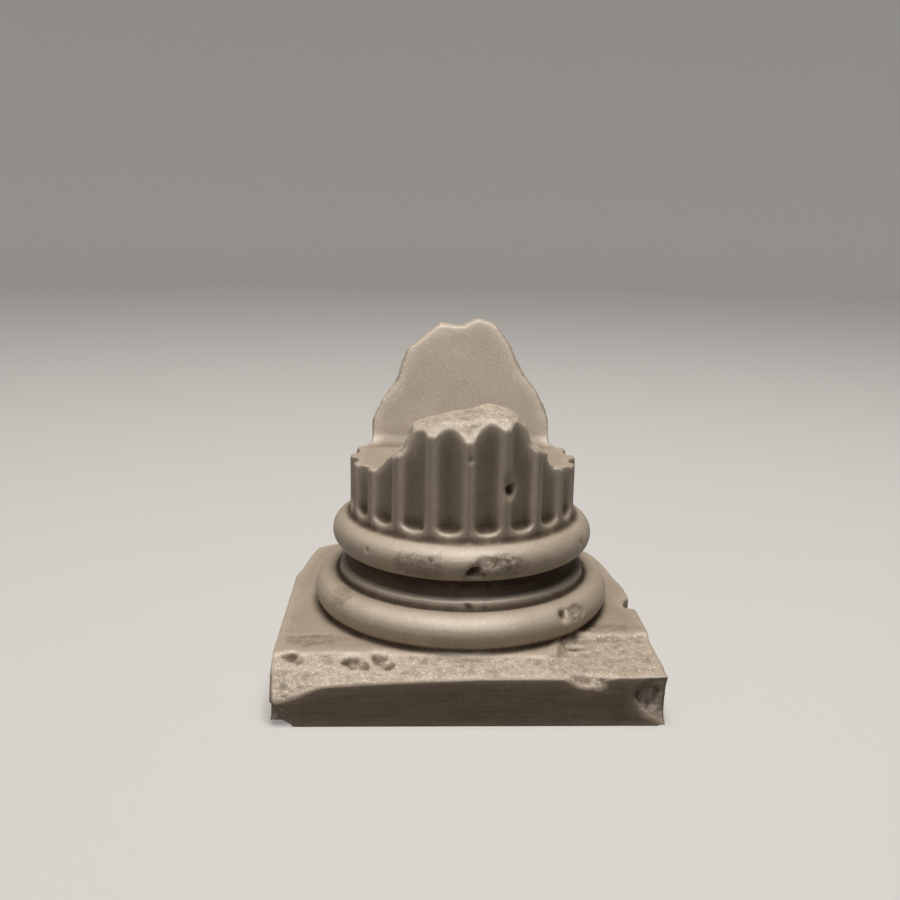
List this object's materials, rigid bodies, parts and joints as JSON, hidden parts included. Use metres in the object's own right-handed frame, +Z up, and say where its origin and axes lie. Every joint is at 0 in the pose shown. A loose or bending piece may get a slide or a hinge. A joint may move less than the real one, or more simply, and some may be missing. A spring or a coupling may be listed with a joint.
{
  "type": "game controller stand",
  "caption": "Desk stand for a game controller, shaped as the stump of a broken fluted column on a square plinth, with an open leaning slot behind a ragged front tab.",
  "frame": {"origin": "middle of the plinth's underside, on the surface that the stand rests on", "axes": "+Z up along the column, -Y towards the front with the low ragged tab, +X to the right seen from the front"},
  "size_m": [0.084, 0.084, 0.08],
  "materials": {
    "stone_print": "satin"
  },
  "bodies": {
    "root": {"column_stand": "stone_print"}
  },
  "joints": []
}
